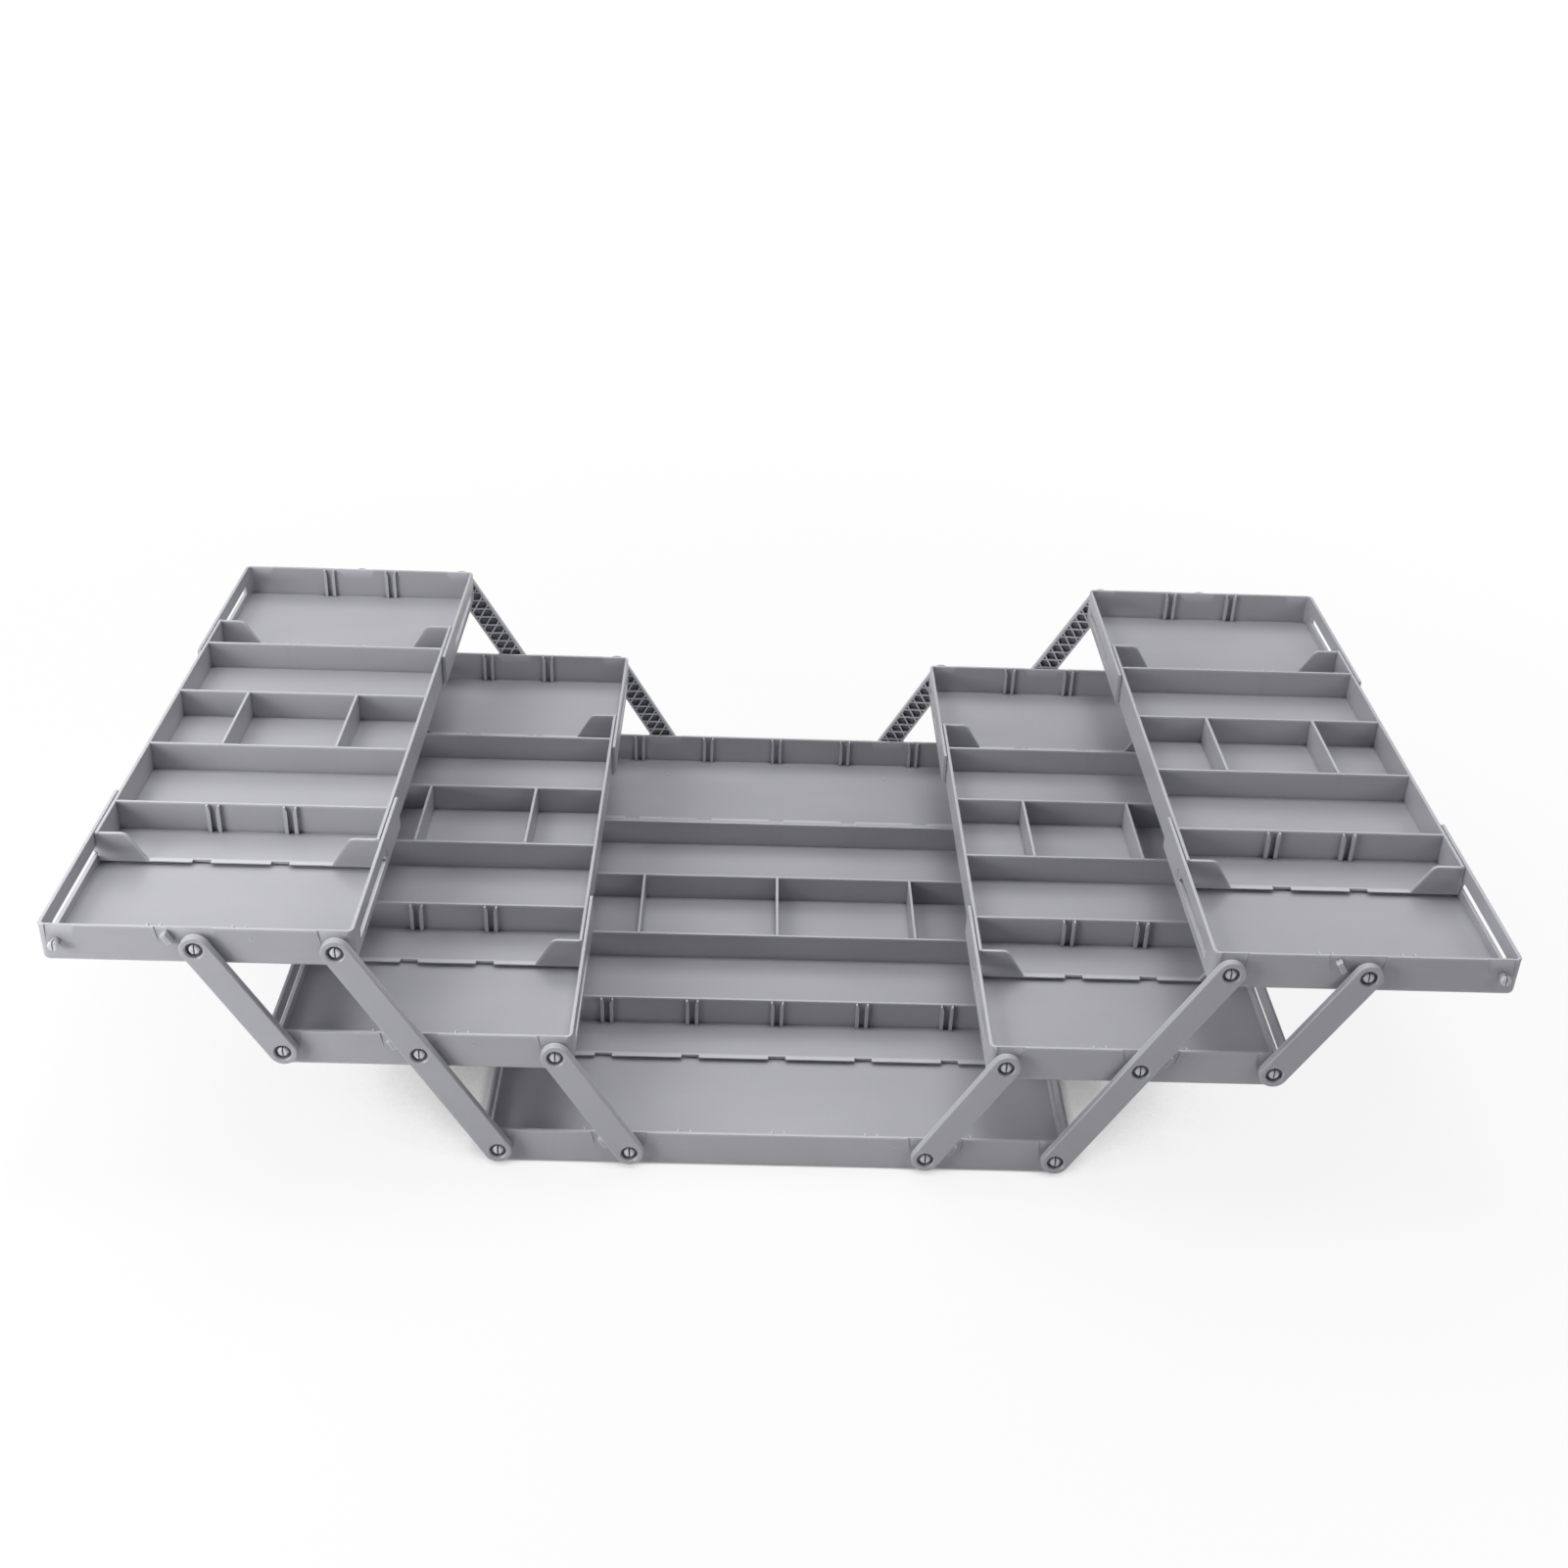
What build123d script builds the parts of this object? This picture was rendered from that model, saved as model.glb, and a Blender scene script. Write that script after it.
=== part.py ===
"""Three-tier desk organizer: a wide base tray, two mid trays and two top trays, carried by swinging arms.

Every tray is a middle section that telescopes between two end sections. The studs, stop blocks and divider ribs
are moulded on the sections. The frame has X to the right, Y to the back and Z up, in millimetres, and its origin
is under the centre of the base tray. The tiers are drawn swung open, with every tray drawn out to full depth.
"""
import os
from dataclasses import dataclass
from math import asin, atan2, cos, degrees, hypot, radians, sin, sqrt, tan

from build123d import *

os.makedirs("parts", exist_ok=True)

# Layout of the tiers
stud_spacing = 70.0
corner_offset = 8.75
stud_height = 12.4
tray_height = 22.0
tier_gap = 0.6
centre_gap = 1.0
open_angle = 59.0
extended_depth = 440.0

# Shells of the sections
wall = 2.0
floor = 2.0
end_length = 132.0
middle_length = 266.0
side_gap = 0.4
floor_gap = 0.6
corner_radius = 4.0
bottom_radius = 3.0
rim_radius = 0.5

# Partitions of the middle sections
partition = 1.8
row_pitch = 66.2
small_divider_offset = 33.0
base_divider_offset = 86.0
ear_top = 14.4
ear_foot = 25.4
ear_radius = 5.0
edge_bevel_height = 1.4
edge_bevel_depth = 4.0

# Rib pairs that hold loose dividers, and the notches that clear them
rib_width = 2.0
rib_slot = 3.4
rib_depth = 2.4
lead_in_width = 1.1
lead_in_height = 3.0
small_rib_offset = 21.2
base_rib_pitch = 50.2
notch_width = 10.0
notch_depth = 2.6

# Guide slots of the end sections and pegs of the middle sections
slot_start = 15.5
slot_height = 5.6
slot_middle_height = 10.3
slot_corner_radius = 0.8
peg_radius = 2.5
peg_inset = 3.0
peg_clearance = 0.5
peg_recess = 0.3

# Studs and the drafted recesses round them
post_radius = 2.2
head_radius = 2.8
head_length = 1.8
head_edge_radius = 1.2
head_gap = 0.2
split_width = 0.8
split_depth = 3.6
recess_depth = 0.7
recess_near = 5.0
recess_far = 9.5
recess_stop_side = 20.7
recess_taper = 12.0

# Stop blocks beside the studs
stop_along = 10.9
stop_length = 6.6
stop_width = 3.2
stop_height = 3.8
stop_gap = 0.4
stop_edge_radius = 0.6

# Small moulding marks
pip_radius = 0.7
pip_height = 0.25
pip_level = 16.0
small_pip_offset = 27.3
base_pip_offset = 63.2
nub_radius = 1.6
nub_height = 0.45
nub_taper = 30
nub_inset = 23.0

# Arms
arm_width = 15.0
arm_thickness = 4.0
arm_gap = 2.2
arm_edge_radius = 0.8
flange = 1.5
skin = 1.4
lattice_pitch = 7.2
lattice_angle = 60.0
lattice_rib = 1.1
smallest_pocket = 1.5
boss_radius = 6.0
hub_radius = 5.2
hub_gap = 0.5
land_thickness = 1.6
pivot_clearance = 0.08
counterbore_radius = 4.4
counterbore_chamfer = 0.6
relief_clearance = 0.5

# Sizes that follow
tray_width = 2 * (stud_spacing + corner_offset)
closed_centre = (tray_width + centre_gap) / 2
base_width = tray_width + 2 * closed_centre
closed_rise = tray_height + tier_gap
arm_pitch = hypot(stud_spacing, closed_rise)
arm_run = arm_pitch * cos(radians(open_angle))
arm_rise = arm_pitch * sin(radians(open_angle))
fold_angle = 180 - degrees(asin(closed_rise / arm_pitch)) - open_angle
mid_centre = closed_centre + stud_spacing + arm_run
top_centre = mid_centre + arm_run + stud_spacing
middle_floor_level = floor + floor_gap
cell_floor_level = middle_floor_level + floor
head_start = arm_gap + land_thickness + head_gap
slot_end = (extended_depth - middle_length) / 2 + peg_inset + peg_radius + peg_clearance
extend_travel = slot_end - slot_start - 2 * (peg_radius + peg_clearance)


@dataclass
class Tray:
    """One tray: its width, its place in the open frame, and what is set out along its width."""

    name: str
    width: float
    x: float
    z: float
    studs: list
    ribs: list
    dividers: list


def small_tray(name, x, z):
    """A mid or top tray."""
    studs = [-stud_spacing, 0, stud_spacing]
    ribs = [-small_rib_offset, small_rib_offset]
    dividers = [-small_divider_offset, small_divider_offset]
    return Tray(name, tray_width, x, z, studs, ribs, dividers)


def base_tray():
    """The base tray, as wide as two small trays side by side."""
    inner = closed_centre
    outer = closed_centre + stud_spacing
    ribs = [count * base_rib_pitch for count in range(-2, 3)]
    dividers = [-base_divider_offset, 0, base_divider_offset]
    return Tray("base", base_width, 0, 0, [-outer, -inner, inner, outer], ribs, dividers)


def tray_plane(tray, turned):
    """The ground plane of a tray's section; a rear end section is turned half round."""
    return Plane(origin=(tray.x, 0, tray.z), x_dir=(-1 if turned else 1, 0, 0), z_dir=(0, 0, 1))


def side_plane(ground, x):
    """A plane across the tray at x, with its axes along the tray's depth and up."""
    return Plane(origin=ground.from_local_coords((x, 0, 0)), x_dir=ground.y_dir, z_dir=ground.x_dir)


def face_plane(ground, y, outward):
    """A plane across the tray's depth at y, facing the tray's end (outward 1) or its centre (outward -1)."""
    origin = ground.from_local_coords((0, y, 0))
    return Plane(origin=origin, x_dir=ground.x_dir * outward, z_dir=ground.y_dir * -outward)


def rib_pairs(places, low):
    """Profiles of the rib pairs from a low level to the rim, each pair with a slot that widens at its mouth."""
    high = tray_height - rim_radius
    with BuildSketch() as profiles:
        for place in places:
            for side in (-1, 1):
                inner = place + side * rib_slot / 2
                outer = inner + side * rib_width
                with BuildLine():
                    Polyline(
                        (inner, low),
                        (inner, high - lead_in_height),
                        (inner + side * lead_in_width, high),
                        (outer, high),
                        (outer, low),
                        close=True,
                    )
                make_face()
    return profiles.sketch


def stop_centre(side):
    """Centre of a stop block from its stud's axis, so that it lies along the flank of the open arm."""
    lean = radians(open_angle)
    across = arm_width / 2 + stop_gap + stop_width / 2
    x = stop_along * cos(lean) + across * sin(lean)
    z = stop_along * sin(lean) - across * cos(lean)
    return side * x, z


def recess_plane(outside):
    """The floor of the recesses: it leaves the end wall at the studs and lies recess_depth back at the rim."""
    rise = tray_height - stud_height
    normal = outside.z_dir * rise + outside.y_dir * recess_depth
    return Plane(origin=outside.from_local_coords((0, stud_height, 0)), x_dir=outside.x_dir, z_dir=normal)


def recess_corners(tray, stud, stops):
    """Corners of the recess above a stud, in its plane, from the studs' height to past the rim.

    The sides lean in towards the stud, apart from the one beside a corner of the tray, which stands upright.
    """
    rise = tray_height - stud_height
    corners = []
    for side in (-1, 1):
        high = recess_stop_side if (stud, side) in stops else recess_far
        low = high - rise * tan(radians(recess_taper))
        if stud * side == max(tray.studs):
            high = low = recess_near
        corners.append([(stud + side * low, 0), (stud + side * high, rise), (stud + side * high, rise + wall)])
    return corners[0] + corners[1][::-1]


def build_end_section(tray, name, turned, stops, pips):
    """An end section: end wall, floor and two slotted side walls, with the studs and stops on its outside.

    stops holds pairs of a stud's place and the side that its stop block is on, and pips the places of the
    gate marks. Both are in the section's own frame.
    """
    ground = tray_plane(tray, turned)
    end = -extended_depth / 2
    outside = face_plane(ground, end, 1)
    inside = face_plane(ground, end + wall, -1)
    ribs = rib_pairs(tray.ribs, floor / 2)
    with BuildPart(ground) as section:
        with BuildSketch(ground) as outline:
            with Locations((0, end + end_length / 2)):
                Rectangle(tray.width, end_length)
            fillet(outline.vertices().sort_by(Axis.Y)[:2], corner_radius)
        extrude(amount=tray_height)
        bottom = section.edges().group_by(Axis.Z)[0].sort_by(lambda edge: abs(edge.center().Y))
        fillet(bottom[1:], bottom_radius)
        with BuildSketch(ground.offset(floor)) as hollow:
            with Locations((0, end + wall + end_length / 2)):
                Rectangle(tray.width - 2 * wall, end_length)
            fillet(hollow.vertices().sort_by(Axis.Y)[:2], corner_radius - wall)
        extrude(amount=tray_height, mode=Mode.SUBTRACT)
        fillet(section.faces().sort_by(Axis.Z)[-1].edges(), rim_radius)

        with BuildSketch(side_plane(ground, 0)):
            with Locations((end + (slot_start + slot_end) / 2, slot_middle_height)):
                RectangleRounded(slot_end - slot_start, slot_height, slot_corner_radius)
        extrude(amount=tray.width, both=True, mode=Mode.SUBTRACT)

        with BuildSketch(inside):
            add(ribs)
        extrude(amount=rib_depth)

        recess_floor = recess_plane(outside)
        for stud in tray.studs:
            with BuildSketch(recess_floor):
                with BuildLine():
                    Polyline(*recess_corners(tray, stud, stops), close=True)
                make_face()
            extrude(amount=2 * wall, mode=Mode.SUBTRACT)

        stud_places = [(stud, stud_height) for stud in tray.studs]
        with BuildSketch(outside.offset(-wall / 2)):
            with Locations(*stud_places):
                Circle(post_radius)
        extrude(amount=wall / 2 + head_start)
        with BuildSketch(outside.offset(head_start)):
            with Locations(*stud_places):
                Circle(head_radius)
        extrude(amount=head_length)
        outward = Axis(outside.origin, outside.z_dir)
        fillet(section.faces().group_by(outward)[-1].edges(), head_edge_radius)
        with BuildSketch(outside.offset(head_start + head_length - split_depth)):
            with Locations(*stud_places):
                Rectangle(split_width, 3 * head_radius)
        extrude(amount=split_depth, mode=Mode.SUBTRACT)

        for stud, side in stops:
            x, z = stop_centre(side)
            with BuildSketch(outside.offset(-wall / 2)):
                with Locations((stud + x, stud_height + z)):
                    Rectangle(stop_width, stop_length, rotation=-side * (90 - open_angle))
            extrude(amount=wall / 2 + stop_height)
        stop_faces = section.faces().filter_by(lambda face: is_stop_front(face, outside))
        fillet(stop_faces.edges(), stop_edge_radius)

        with BuildSketch(outside):
            with Locations(*[(pip, pip_level) for pip in pips]):
                Circle(pip_radius)
        extrude(amount=pip_height)
        if tray.name == "base":
            with BuildSketch(ground.offset(floor)):
                with Locations((-closed_centre, end + nub_inset), (closed_centre, end + nub_inset)):
                    Circle(nub_radius)
            extrude(amount=nub_height, taper=nub_taper)
    section.part.label = name
    export_step(section.part, f"parts/{name}.step")
    return section.part


def is_stop_front(face, outside):
    """Whether a face is the front of a stop block."""
    distance = outside.to_local_coords(face.center()).Z
    return abs(distance - stop_height) < 0.01 and face.area > stop_length * stop_width / 2


def build_middle_section(tray, name):
    """A middle section: floor, side walls, cross walls, dividers, rib pairs, end ears and guide pegs."""
    ground = tray_plane(tray, False)
    width = tray.width - 2 * (wall + side_gap)
    inner = width / 2 - wall
    half_length = middle_length / 2
    wall_places = [row_pitch * step for step in (-1.5, -0.5, 0.5, 1.5)]
    ribs = rib_pairs(tray.ribs, cell_floor_level - floor / 2)
    with BuildPart(ground) as section:
        with BuildSketch(ground.offset(middle_floor_level)):
            Rectangle(width, middle_length)
            notches = [(rib, side * half_length) for rib in tray.ribs for side in (-1, 1)]
            with Locations(*notches):
                Rectangle(notch_width, 2 * notch_depth, mode=Mode.SUBTRACT)
        extrude(amount=floor)
        with BuildSketch(ground.offset(middle_floor_level)):
            with Locations((inner + wall / 2, 0), (-inner - wall / 2, 0)):
                Rectangle(wall, middle_length)
            with Locations(*[(0, place) for place in wall_places]):
                Rectangle(width, partition)
            with Locations(*[(place, 0) for place in tray.dividers]):
                Rectangle(partition, row_pitch)
        extrude(amount=tray_height - middle_floor_level)
        fillet(section.faces().sort_by(Axis.Z)[-1].edges(), rim_radius)

        for outward in (1, -1):
            with BuildSketch(face_plane(ground, -outward * half_length, -outward)) as ears:
                for side in (-1, 1):
                    with BuildLine():
                        Polyline(
                            (side * (inner + wall / 2), middle_floor_level),
                            (side * (inner + wall / 2), tray_height - rim_radius),
                            (side * (inner - ear_top), tray_height - rim_radius),
                            (side * (inner - ear_foot), cell_floor_level - floor / 2),
                            close=True,
                        )
                    make_face()
                corners = ears.vertices().group_by(Axis.Y)[-1].sort_by(lambda corner: abs(corner.X))[:2]
                fillet(corners, ear_radius)
            extrude(amount=partition)
            with BuildSketch(face_plane(ground, -outward * (1.5 * row_pitch + partition / 2), outward)):
                add(ribs)
            extrude(amount=rib_depth)

        for side in (-1, 1):
            with BuildSketch(side_plane(ground, -width)):
                with BuildLine():
                    Polyline(
                        (side * (half_length + wall), middle_floor_level - floor),
                        (side * (half_length - edge_bevel_depth), middle_floor_level),
                        (side * half_length, middle_floor_level + edge_bevel_height),
                        (side * (half_length + wall), middle_floor_level + edge_bevel_height),
                        close=True,
                    )
                make_face()
            extrude(amount=2 * width, mode=Mode.SUBTRACT)
            with BuildSketch(side_plane(ground, side * (width / 2 - wall / 2))):
                peg_place = half_length - peg_inset
                with Locations((-peg_place, slot_middle_height), (peg_place, slot_middle_height)):
                    Circle(peg_radius)
            extrude(amount=side * (wall / 2 + side_gap + wall - peg_recess))
    section.part.label = name
    export_step(section.part, f"parts/{name}.step")
    return section.part


def relief_span():
    """Where a stop block enters the flank of the closed arm: from, to and depth, from the arm's stud and axis.

    The block lies beside the arm's upper half when the tiers are open, and its lowest corner comes inside the
    arm's outline, beside the lower half, when they are closed.
    """
    near = stop_along - stop_length / 2
    far = stop_along + stop_length / 2
    low = arm_width / 2 + stop_gap
    high = low + stop_width

    def closed_place(along, across):
        radius = hypot(along, across)
        angle = radians(180 - fold_angle) - atan2(across, along)
        return radius * cos(angle), radius * sin(angle)

    entry = sqrt(hypot(near, low) ** 2 - (arm_width / 2) ** 2)
    start = entry - relief_clearance
    finish = closed_place(far, high)[0] + relief_clearance
    depth = closed_place(near, high)[1] - relief_clearance
    return start, finish, depth


def build_arm(name, x, z, lean, front, pitches, relieved):
    """An arm from the stud at x, z: flat bar with a lattice in its inner face, and a hub and hole per stud.

    The hubs hold the bar off the end walls. A relieved arm has a cut in its lower flank for a stop block.
    """
    facing = -1 if front else 1
    origin = (x, facing * (extended_depth / 2 + arm_gap), z)
    direction = (lean * cos(radians(open_angle)), 0, sin(radians(open_angle)))
    inner_face = Plane(origin=origin, x_dir=direction, z_dir=(0, facing, 0))
    length = pitches * arm_pitch
    holes = [(count * arm_pitch, 0) for count in range(pitches + 1)]
    with BuildPart(inner_face) as arm:
        with BuildSketch(inner_face):
            with Locations((length / 2, 0)):
                SlotCenterToCenter(length, arm_width)
        extrude(amount=arm_thickness)
        outward = Axis(inner_face.origin, inner_face.z_dir)
        fillet(arm.faces().sort_by(outward)[-1].edges(), arm_edge_radius)

        with BuildSketch(inner_face, mode=Mode.PRIVATE) as pockets:
            with Locations((length / 2, 0)):
                SlotCenterToCenter(length, arm_width - 2 * flange)
            count = round(length / lattice_pitch) + 4
            rib_length = 4 * arm_width
            with Locations((length / 2, 0)):
                with GridLocations(lattice_pitch, 0, count, 1):
                    Rectangle(rib_length, lattice_rib, rotation=lattice_angle, mode=Mode.SUBTRACT)
            with Locations(((length + lattice_pitch) / 2, 0)):
                with GridLocations(lattice_pitch, 0, count, 1):
                    Rectangle(rib_length, lattice_rib, rotation=-lattice_angle, mode=Mode.SUBTRACT)
            with Locations(*holes):
                Circle(boss_radius, mode=Mode.SUBTRACT)
        open_pockets = pockets.sketch.faces().filter_by(lambda face: face.area > smallest_pocket)
        extrude(to_extrude=open_pockets, amount=arm_thickness - skin, mode=Mode.SUBTRACT)

        hub_face = inner_face.offset(hub_gap - arm_gap)
        with BuildSketch(hub_face):
            with Locations(*holes):
                Circle(hub_radius)
        extrude(amount=arm_gap - hub_gap + land_thickness)
        with BuildSketch(hub_face):
            with Locations(*holes):
                Circle(post_radius + pivot_clearance)
        extrude(amount=arm_gap + arm_thickness, mode=Mode.SUBTRACT)
        with BuildSketch(inner_face.offset(land_thickness)):
            with Locations(*holes):
                Circle(counterbore_radius)
        extrude(amount=arm_thickness, mode=Mode.SUBTRACT)
        mouths = arm.faces().sort_by(outward)[-1].edges().filter_by(GeomType.CIRCLE)
        mouths = mouths.filter_by(lambda edge: abs(edge.radius - counterbore_radius) < 0.01)
        chamfer(mouths, counterbore_chamfer)

        if relieved:
            start, finish, depth = relief_span()
            lower = facing * lean
            with BuildSketch(inner_face):
                with Locations((arm_pitch - (start + finish) / 2, lower * (depth + arm_width / 2))):
                    Rectangle(finish - start, arm_width)
            extrude(amount=stop_height + relief_clearance - arm_gap, mode=Mode.SUBTRACT)
    arm.part.label = name
    export_step(arm.part, f"parts/{name}.step")
    return arm.part


def build_tray(tray, front_stops, rear_stops, front_pips):
    """The three sections of a tray, with the rear end section given in the turned frame."""
    turned_stops = [(-stud, -side) for stud, side in rear_stops]
    turned_pips = [-pip for pip in front_pips]
    build_end_section(tray, f"{tray.name}_front_end", False, front_stops, front_pips)
    build_middle_section(tray, f"{tray.name}_middle")
    build_end_section(tray, f"{tray.name}_rear_end", True, turned_stops, turned_pips)


def build_side_arms(side_name, lean):
    """The three front and three rear arms of one side: long, lower and upper."""
    outer = lean * (closed_centre + stud_spacing)
    inner = lean * closed_centre
    mid_outer = lean * (mid_centre + stud_spacing)
    mid_level = stud_height + arm_rise
    for front in (True, False):
        prefix = f"{side_name}_{'front' if front else 'rear'}"
        build_arm(f"{prefix}_long_arm", outer, stud_height, lean, front, pitches=2, relieved=True)
        build_arm(f"{prefix}_lower_arm", inner, stud_height, lean, front, pitches=1, relieved=False)
        build_arm(f"{prefix}_upper_arm", mid_outer, mid_level, lean, front, pitches=1, relieved=True)


base = base_tray()
base_stops = [(-closed_centre, -1), (closed_centre, 1)]
build_tray(base, base_stops, base_stops, [-base_pip_offset, base_pip_offset])
for tray_side, lean in (("left", -1), ("right", 1)):
    mid_tray = small_tray(f"mid_{tray_side}", lean * mid_centre, arm_rise)
    top_tray = small_tray(f"top_{tray_side}", lean * top_centre, 2 * arm_rise)
    build_tray(mid_tray, [(0, lean)], [(0, lean)], [small_pip_offset])
    build_tray(top_tray, [(0, -1)], [(0, -1)], [-lean * small_pip_offset])
    build_side_arms(tray_side, lean)

print(f"fold {fold_angle:.3f} degrees, travel {extend_travel:.2f}, arm pitch {arm_pitch:.3f}")
print(f"mid tray at {mid_centre:.3f}, {arm_rise:.3f}; top tray at {top_centre:.3f}, {2 * arm_rise:.3f}")
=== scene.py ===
"""Scene for the desk organizer: moulded grey plastic on every section and arm, a pale floor and soft light.

The camera stands where the photograph was taken. Everything is in metres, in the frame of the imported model.
"""
import math

import bpy
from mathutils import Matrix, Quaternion, Vector

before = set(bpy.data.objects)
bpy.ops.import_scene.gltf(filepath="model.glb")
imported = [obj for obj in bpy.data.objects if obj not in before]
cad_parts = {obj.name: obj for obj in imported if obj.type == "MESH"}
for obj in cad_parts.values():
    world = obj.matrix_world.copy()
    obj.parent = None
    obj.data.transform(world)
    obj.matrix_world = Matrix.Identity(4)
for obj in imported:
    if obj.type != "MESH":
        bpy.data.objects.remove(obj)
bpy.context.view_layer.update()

WHITE = (1.0, 1.0, 1.0, 1.0)

# Plastic
PLASTIC_GREY = (0.383, 0.384, 0.411, 1.0)
TRAY_ROUGHNESS = 0.37
ARM_ROUGHNESS = 0.34
ROUGHNESS_SPREAD = 0.05
# The tone runs between these shares of the grey
TONE_DARK = 0.93
TONE_LIGHT = 1.07

# Noise in the plastic: scale, detail, and the stretch along the axes
FLOW_MARKS = (7.0, 3.0, (1.0, 2.5, 1.0))
SPECKLE = (420.0, 2.0, (1.0, 1.0, 1.0))
FINE_TEXTURE = (1500.0, 2.0, (1.0, 1.0, 1.0))
# The middle of the noise's values, which is spread over what it changes
NOISE_MIDDLE = (0.35, 0.65)
# The part that the flow marks and the speckle have in the tone
FLOW_TONE = (0.1, 0.6)
SPECKLE_TONE = 0.35
BUMP_STRENGTH = 0.12
BUMP_HEIGHT = 0.0001

# The two ways in which a mask runs
RISING = (0.0, 1.0)
FALLING = (1.0, 0.0)
OCCLUSION_SAMPLES = 6

# Narrow edges take this share of the grey as a painted highlight, and are smoother
EDGE_PAINTED_HIGHLIGHT = 1.40
EDGE_SMOOTHER = 0.06
# The share of the space behind the surface that is plastic, on a full edge and on a flat face
EDGE_SOLID = (0.55, 1.0)
# How far in an edge is told, how far it faces up where it starts and is full, and whether rib tips count
TRAY_PAINTED_HIGHLIGHT = {"reach": 0.0019, "upward": (0.5, 0.9), "with_tips": True}
ARM_PAINTED_HIGHLIGHT = {"reach": 0.0012, "upward": (-0.25, 0.25), "with_tips": False}
# Rib tips look forward or back by more than this, and have this share of plastic behind them; they take the
# painted highlight too
TIP_FACING = 0.9
TIP_SOLID = (0.63, 0.72)

# Crevices keep this share of the grey, as painted shade
CREVICE_PAINTED_SHADE = 0.25
CREVICE_REACH = 0.005
# The share of the space before the surface that is open, in a full crevice and out of it
TRAY_CREVICE_SHADE = (0.15, 0.55)
ARM_CREVICE_SHADE = (0.15, 0.70)

# Painted highlight and painted shade on faces, told by how far from the middle of the organizer they lie.
# Stud heads, with a painted highlight, lie past this
HEAD_FROM = 0.2239
HEAD_PAINTED_HIGHLIGHT = (0.60, 0.60, 0.63, 1.0)
# The sunk rings round the studs, with painted shade, are outward faces of the arms, and the tips of the
# lattice, with a painted highlight, are inward ones
RING_FACE = 0.2238
RING_PAINTED_SHADE = 0.32
LATTICE_FACE = 0.2222
LATTICE_PAINTED_HIGHLIGHT = 1.90
FACE_TOLERANCE = 0.0002

# Camera
CAMERA_PLACE = Vector((-0.0228, -1.0014, 0.6974))
CAMERA_DOWN = 30.32
CAMERA_RIGHTWARD = 1.38
CAMERA_ROLL = 2.20
CAMERA_LENS = 43.57
CAMERA_SENSOR = 36.0
CAMERA_NEAREST = 0.05
CAMERA_FURTHEST = 50.0

# Floor
FLOOR_SIZE = 12.0
FLOOR_DROP = 0.0003
FLOOR_GREY = 0.80
# The share of glow near the organizer, and the distances over which it rises to all of the floor
FLOOR_GLOW = 0.87
FLOOR_FADE = (0.35, 0.95)
# Painted shadow: the glow is weaker where something lies close over the floor; the share that is open, and
# the glow there
FLOOR_PAINTED_SHADOW_REACH = 0.15
FLOOR_PAINTED_SHADOW_OPEN = (0.14, 0.38)
FLOOR_PAINTED_SHADOW_LEVELS = (0.2, 1.0)
FLOOR_SAMPLES = 16

# Light: the level of the surroundings, and the lamps with their place, side and power
WORLD_LEVEL = 0.02
WHITE_LEVEL = 1.0
LAMP_TARGET = Vector((0.0, 0.0, 0.05))
LAMPS = {
    "back_left_box": ((-1.3, 1.5, 1.8), 1.4, 14.5),
    "back_right_box": ((1.3, 1.5, 1.8), 1.4, 10.4),
    "right_front_box": ((1.7, -1.3, 1.3), 1.4, 10.9),
    "back_top_box": ((0.0, 1.3, 1.8), 1.2, 8.9),
    "top_box": ((0.1, 0.2, 1.8), 0.6, 10.4),
    "left_near_box": ((-0.75, -0.1, 1.0), 0.6, 4.4),
    "left_front_near_box": ((-0.95, -0.7, 0.4), 0.5, 6.9),
}


def new_material(name):
    """An empty node material with its output node."""
    material = bpy.data.materials.new(name)
    material.use_nodes = True
    material.node_tree.nodes.clear()
    output = material.node_tree.nodes.new("ShaderNodeOutputMaterial")
    return material, material.node_tree, output


def noise(tree, source, scale, detail, stretch):
    """Fractal noise in the object's own frame, stretched along its axes."""
    mapping = tree.nodes.new("ShaderNodeMapping")
    mapping.inputs["Scale"].default_value = stretch
    texture = tree.nodes.new("ShaderNodeTexNoise")
    texture.inputs["Scale"].default_value = scale
    texture.inputs["Detail"].default_value = detail
    tree.links.new(source, mapping.inputs["Vector"])
    tree.links.new(mapping.outputs["Vector"], texture.inputs["Vector"])
    return texture.outputs["Fac"]


def remap(tree, value, source, target):
    """The value between the two ends of source, spread over the two ends of target."""
    node = tree.nodes.new("ShaderNodeMapRange")
    node.inputs["From Min"].default_value, node.inputs["From Max"].default_value = source
    node.inputs["To Min"].default_value, node.inputs["To Max"].default_value = target
    tree.links.new(value, node.inputs["Value"])
    return node.outputs["Result"]


def openness(tree, distance, inside=False, alone=True, samples=OCCLUSION_SAMPLES):
    """The share of the space before the surface, or behind it, with no other surface within a distance."""
    node = tree.nodes.new("ShaderNodeAmbientOcclusion")
    node.inside = inside
    node.only_local = alone
    node.samples = samples
    node.inputs["Distance"].default_value = distance
    return node.outputs["AO"]


def arithmetic(tree, operation, *values):
    """One step of arithmetic on sockets and numbers."""
    node = tree.nodes.new("ShaderNodeMath")
    node.operation = operation
    for socket, value in zip(node.inputs, values):
        if isinstance(value, (int, float)):
            socket.default_value = value
        else:
            tree.links.new(value, socket)
    return node.outputs["Value"]


def own_parts(tree, output):
    """The three parts of a point or a direction in the object's own frame."""
    node = tree.nodes.new("ShaderNodeSeparateXYZ")
    tree.links.new(tree.nodes.new("ShaderNodeTexCoord").outputs[output], node.inputs["Vector"])
    return node.outputs


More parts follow.
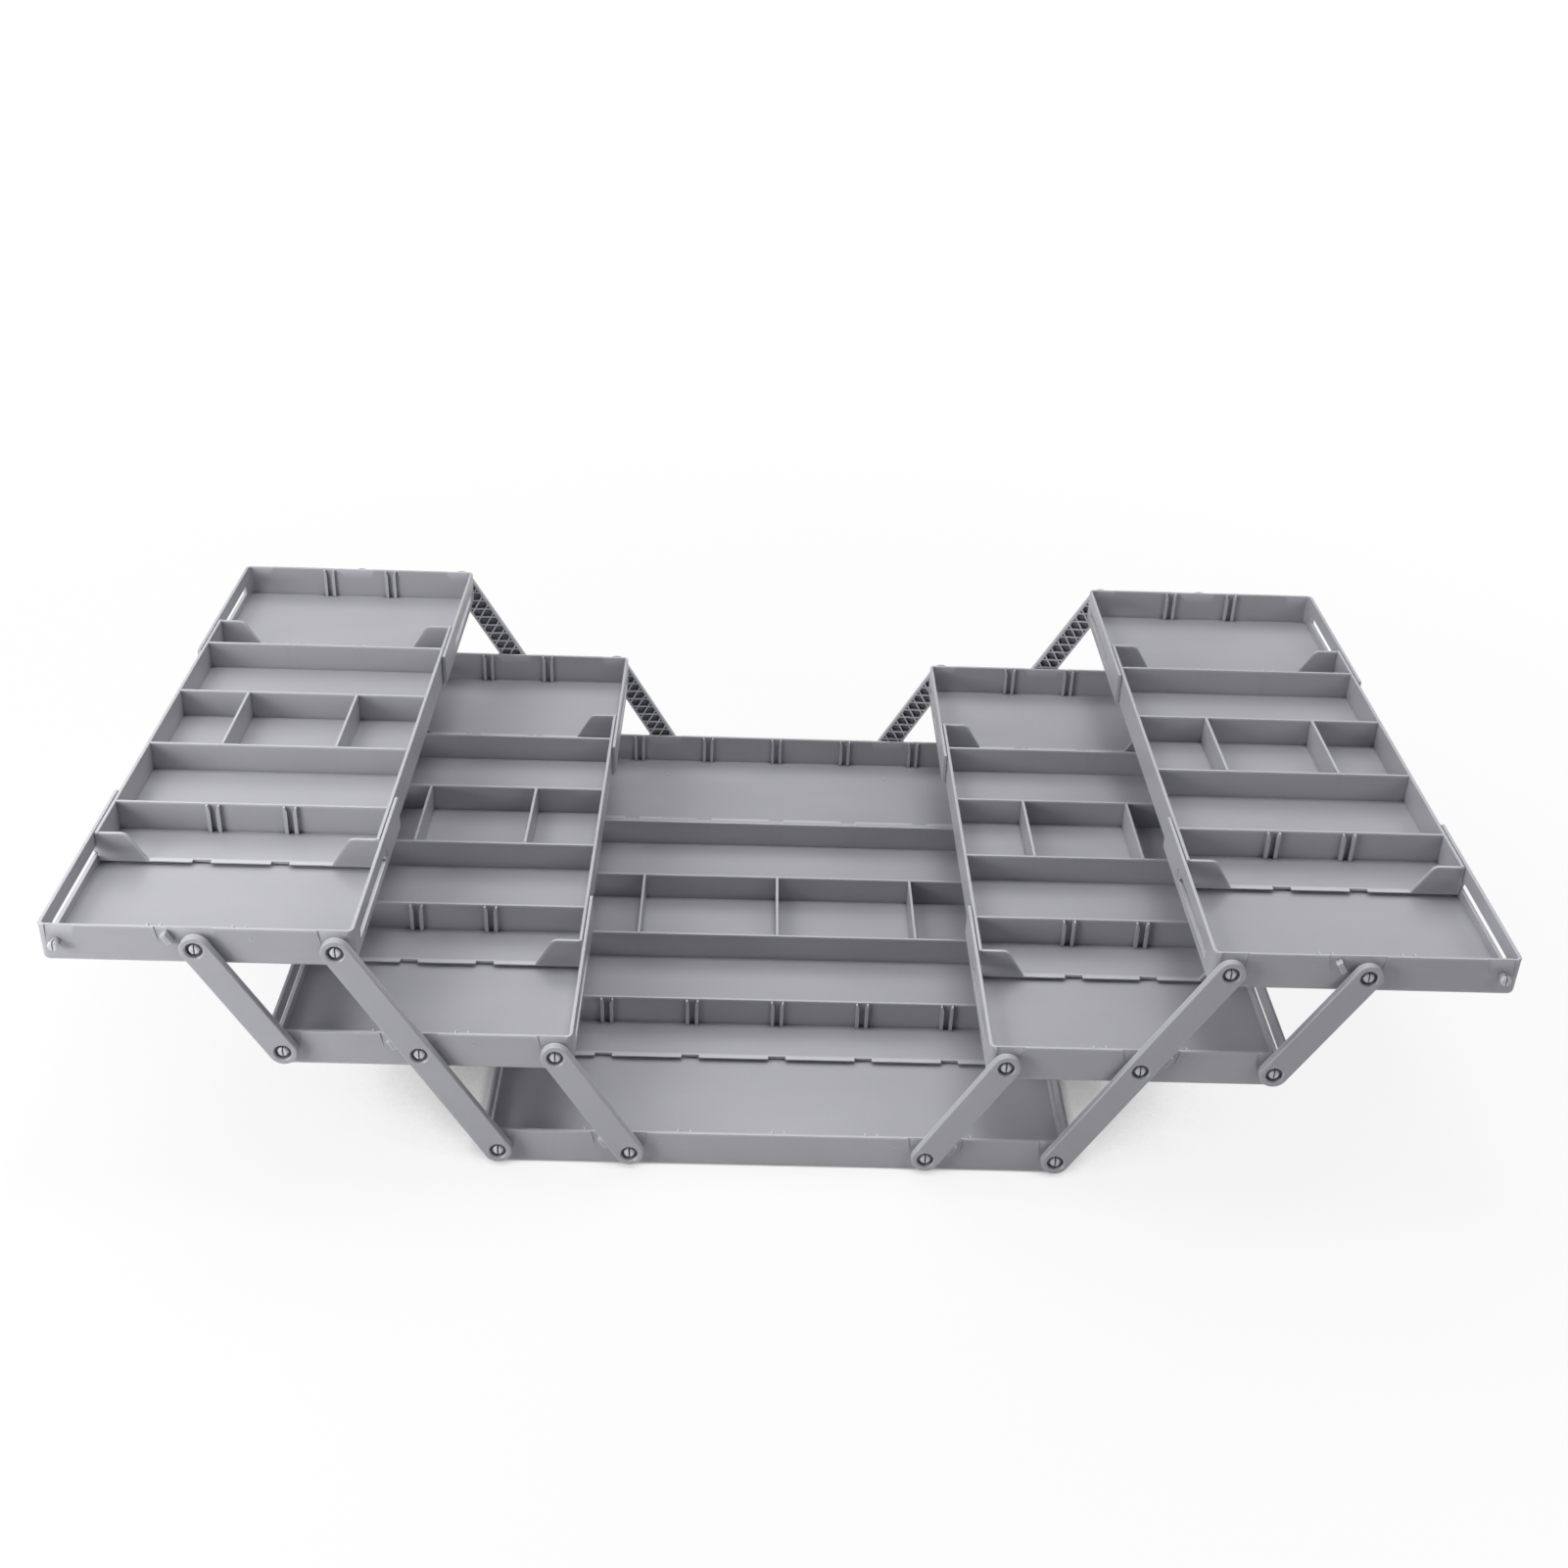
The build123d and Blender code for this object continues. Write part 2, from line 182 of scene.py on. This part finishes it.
def painted_highlight_mask(tree, reach, upward, with_tips):
    """1 where a highlight is painted: on narrow edges that face up, and on the tips of the trays' ribs.

    The arms have no such tips, and their faces are thin skins over pockets, so they take the edges alone.
    """
    solid = openness(tree, reach, inside=True)
    facing = own_parts(tree, "Normal")
    narrow = remap(tree, solid, EDGE_SOLID, FALLING)
    edge = arithmetic(tree, "MULTIPLY", narrow, remap(tree, facing["Z"], upward, RISING))
    if not with_tips:
        return edge
    tip = remap(tree, solid, TIP_SOLID, FALLING)
    forward = arithmetic(tree, "GREATER_THAN", arithmetic(tree, "ABSOLUTE", facing["Y"]), TIP_FACING)
    return arithmetic(tree, "MAXIMUM", edge, arithmetic(tree, "MULTIPLY", tip, forward))


def head_mask(tree):
    """1 on the stud heads, where a highlight is painted; they stand out past the end walls and the stops."""
    outward = arithmetic(tree, "ABSOLUTE", own_parts(tree, "Object")["Y"])
    return arithmetic(tree, "GREATER_THAN", outward, HEAD_FROM)


def face_mask(tree, distance):
    """1 on the faces that look outward at a distance from the middle, or inward where it is less than 0."""
    outward = arithmetic(tree, "MULTIPLY", own_parts(tree, "Object")["Y"], own_parts(tree, "Normal")["Y"])
    return arithmetic(tree, "COMPARE", outward, distance, FACE_TOLERANCE)


def ring_mask(tree):
    """1 on the sunk rings round the studs, where shade is painted."""
    return face_mask(tree, RING_FACE)


def lattice_mask(tree):
    """1 on the tips of the lattice in the arms' inner faces, where a highlight is painted."""
    return face_mask(tree, -LATTICE_FACE)


def shade(share):
    """A share of the plastic's grey."""
    return tuple(share * part for part in PLASTIC_GREY[:3]) + (1.0,)


def tinted(tree, colour, mask, tint):
    """The colour where the mask is 0, and the tint where it is 1."""
    node = tree.nodes.new("ShaderNodeMix")
    node.data_type = "RGBA"
    tree.links.new(mask, node.inputs["Factor"])
    tree.links.new(colour, node.inputs["A"])
    node.inputs["B"].default_value = tint
    return node.outputs["Result"]


def moulded_plastic(name, roughness, edges, crevices, *patches):
    """Moulded plastic: faint flow marks, a fine spark-eroded texture, a painted highlight on narrow edges and
    painted shade in crevices.

    Each further patch is the function that builds its mask, and its colour, a painted highlight or painted
    shade.
    """
    material, tree, output = new_material(name)
    shader = tree.nodes.new("ShaderNodeBsdfPrincipled")
    coordinates = tree.nodes.new("ShaderNodeTexCoord").outputs["Object"]
    flow = noise(tree, coordinates, *FLOW_MARKS)
    speckle = noise(tree, coordinates, *SPECKLE)
    fine = noise(tree, coordinates, *FINE_TEXTURE)

    tone = tree.nodes.new("ShaderNodeMix")
    tone.data_type = "RGBA"
    tone.inputs["A"].default_value = shade(TONE_DARK)
    tone.inputs["B"].default_value = shade(TONE_LIGHT)
    flow_tone = remap(tree, flow, NOISE_MIDDLE, FLOW_TONE)
    tree.links.new(arithmetic(tree, "MULTIPLY_ADD", speckle, SPECKLE_TONE, flow_tone), tone.inputs["Factor"])
    # Painted highlight on narrow edges and rib tips
    edge = painted_highlight_mask(tree, **edges)
    colour = tinted(tree, tone.outputs["Result"], edge, shade(EDGE_PAINTED_HIGHLIGHT))
    # Painted shade in crevices
    crevice = remap(tree, openness(tree, CREVICE_REACH), crevices, FALLING)
    colour = tinted(tree, colour, crevice, shade(CREVICE_PAINTED_SHADE))
    # Painted highlights and painted shade on the patches
    for mask, patch_grey in patches:
        colour = tinted(tree, colour, mask(tree), patch_grey)
    tree.links.new(colour, shader.inputs["Base Color"])
    gloss = remap(tree, flow, NOISE_MIDDLE, (roughness - ROUGHNESS_SPREAD, roughness + ROUGHNESS_SPREAD))
    tree.links.new(arithmetic(tree, "MULTIPLY_ADD", edge, -EDGE_SMOOTHER, gloss), shader.inputs["Roughness"])

    bump = tree.nodes.new("ShaderNodeBump")
    bump.inputs["Strength"].default_value = BUMP_STRENGTH
    bump.inputs["Distance"].default_value = BUMP_HEIGHT
    tree.links.new(fine, bump.inputs["Height"])
    tree.links.new(bump.outputs["Normal"], shader.inputs["Normal"])
    tree.links.new(shader.outputs["BSDF"], output.inputs["Surface"])
    return material


def light_path_any(tree, *names):
    """1 where the ray is of any of the named kinds."""
    path = tree.nodes.new("ShaderNodeLightPath")
    value = path.outputs[names[0]]
    for name in names[1:]:
        value = arithmetic(tree, "MAXIMUM", value, path.outputs[name])
    return value


def show_mix(tree, share, first, second, output):
    """Shows the first shader where the share is 0, and the second where it is 1."""
    mix = tree.nodes.new("ShaderNodeMixShader")
    tree.links.new(share, mix.inputs["Fac"])
    tree.links.new(first, mix.inputs[1])
    tree.links.new(second, mix.inputs[2])
    tree.links.new(mix.outputs["Shader"], output.inputs["Surface"])


def build_floor():
    """A wide pale floor that shows white to the camera, keeps the object's soft shadow, and has a painted
    shadow where something lies close over it.
    """
    bpy.ops.mesh.primitive_plane_add(size=FLOOR_SIZE, location=(0, 0, -FLOOR_DROP))
    floor = bpy.context.object
    floor.name = "floor"
    material, tree, output = new_material("floor_white")
    diffuse = tree.nodes.new("ShaderNodeBsdfDiffuse")
    diffuse.inputs["Color"].default_value = (FLOOR_GREY, FLOOR_GREY, FLOOR_GREY, 1.0)
    glow = tree.nodes.new("ShaderNodeEmission")
    # Painted shadow under what lies close over the floor
    painted_shadow_open = openness(tree, FLOOR_PAINTED_SHADOW_REACH, alone=False, samples=FLOOR_SAMPLES)
    tree.links.new(remap(tree, painted_shadow_open, FLOOR_PAINTED_SHADOW_OPEN, FLOOR_PAINTED_SHADOW_LEVELS), glow.inputs["Strength"])
    distance = tree.nodes.new("ShaderNodeVectorMath")
    distance.operation = "LENGTH"
    tree.links.new(tree.nodes.new("ShaderNodeTexCoord").outputs["Object"], distance.inputs[0])
    seen = light_path_any(tree, "Is Camera Ray", "Is Glossy Ray", "Is Transmission Ray")
    white = remap(tree, distance.outputs["Value"], FLOOR_FADE, (FLOOR_GLOW, 1.0))
    share = arithmetic(tree, "MULTIPLY", seen, white)
    show_mix(tree, share, diffuse.outputs["BSDF"], glow.outputs["Emission"], output)
    floor.data.materials.append(material)


def background(tree, level):
    """White surroundings at a level."""
    node = tree.nodes.new("ShaderNodeBackground")
    node.inputs["Color"].default_value = WHITE
    node.inputs["Strength"].default_value = level
    return node.outputs["Background"]


def build_world():
    """Even grey surroundings for the light, white to the camera."""
    world = bpy.data.worlds.new("studio")
    bpy.context.scene.world = world
    world.use_nodes = True
    tree = world.node_tree
    tree.nodes.clear()
    output = tree.nodes.new("ShaderNodeOutputWorld")
    around = background(tree, WORLD_LEVEL)
    white = background(tree, WHITE_LEVEL)
    seen = light_path_any(tree, "Is Camera Ray", "Is Transmission Ray")
    show_mix(tree, seen, around, white, output)


def softbox(name, place, side, power):
    """A square area light at place, facing the organizer."""
    light = bpy.data.lights.new(name, "AREA")
    light.size = side
    light.energy = power
    lamp = bpy.data.objects.new(name, light)
    lamp.visible_camera = False
    bpy.context.scene.collection.objects.link(lamp)
    lamp.location = place
    lamp.rotation_mode = "QUATERNION"
    lamp.rotation_quaternion = (LAMP_TARGET - Vector(place)).to_track_quat("-Z", "Y")


def build_camera():
    """The camera of the photograph."""
    camera = bpy.data.cameras.new("photo_camera")
    camera.sensor_width = CAMERA_SENSOR
    camera.lens = CAMERA_LENS
    camera.clip_start = CAMERA_NEAREST
    camera.clip_end = CAMERA_FURTHEST
    viewer = bpy.data.objects.new("photo_camera", camera)
    bpy.context.scene.collection.objects.link(viewer)
    down = math.radians(CAMERA_DOWN)
    rightward = math.radians(CAMERA_RIGHTWARD)
    level = math.cos(down)
    forward = Vector((level * math.sin(rightward), level * math.cos(rightward), -math.sin(down)))
    viewer.location = CAMERA_PLACE
    viewer.rotation_mode = "QUATERNION"
    roll = Quaternion((0, 0, 1), math.radians(CAMERA_ROLL))
    viewer.rotation_quaternion = forward.to_track_quat("-Z", "Y") @ roll
    bpy.context.scene.camera = viewer


# Painted highlight on the stud heads and the lattice tips, painted shade in the sunk rings
heads = (head_mask, HEAD_PAINTED_HIGHLIGHT)
rings = (ring_mask, shade(RING_PAINTED_SHADE))
lattice = (lattice_mask, shade(LATTICE_PAINTED_HIGHLIGHT))
# The plastic of each piece, by the last word of its name
plastics = {
    "middle": moulded_plastic("tray_plastic", TRAY_ROUGHNESS, TRAY_PAINTED_HIGHLIGHT, TRAY_CREVICE_SHADE),
    "end": moulded_plastic("end_plastic", TRAY_ROUGHNESS, TRAY_PAINTED_HIGHLIGHT, TRAY_CREVICE_SHADE, heads),
    "arm": moulded_plastic("arm_plastic", ARM_ROUGHNESS, ARM_PAINTED_HIGHLIGHT, ARM_CREVICE_SHADE, rings, lattice),
}
for name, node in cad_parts.items():
    node.data.materials.clear()
    node.data.materials.append(plastics[name.split("_")[-1]])

build_floor()
build_world()
for name, (place, side, power) in LAMPS.items():
    softbox(name, place, side, power)
build_camera()
bpy.context.scene.view_settings.view_transform = "Standard"
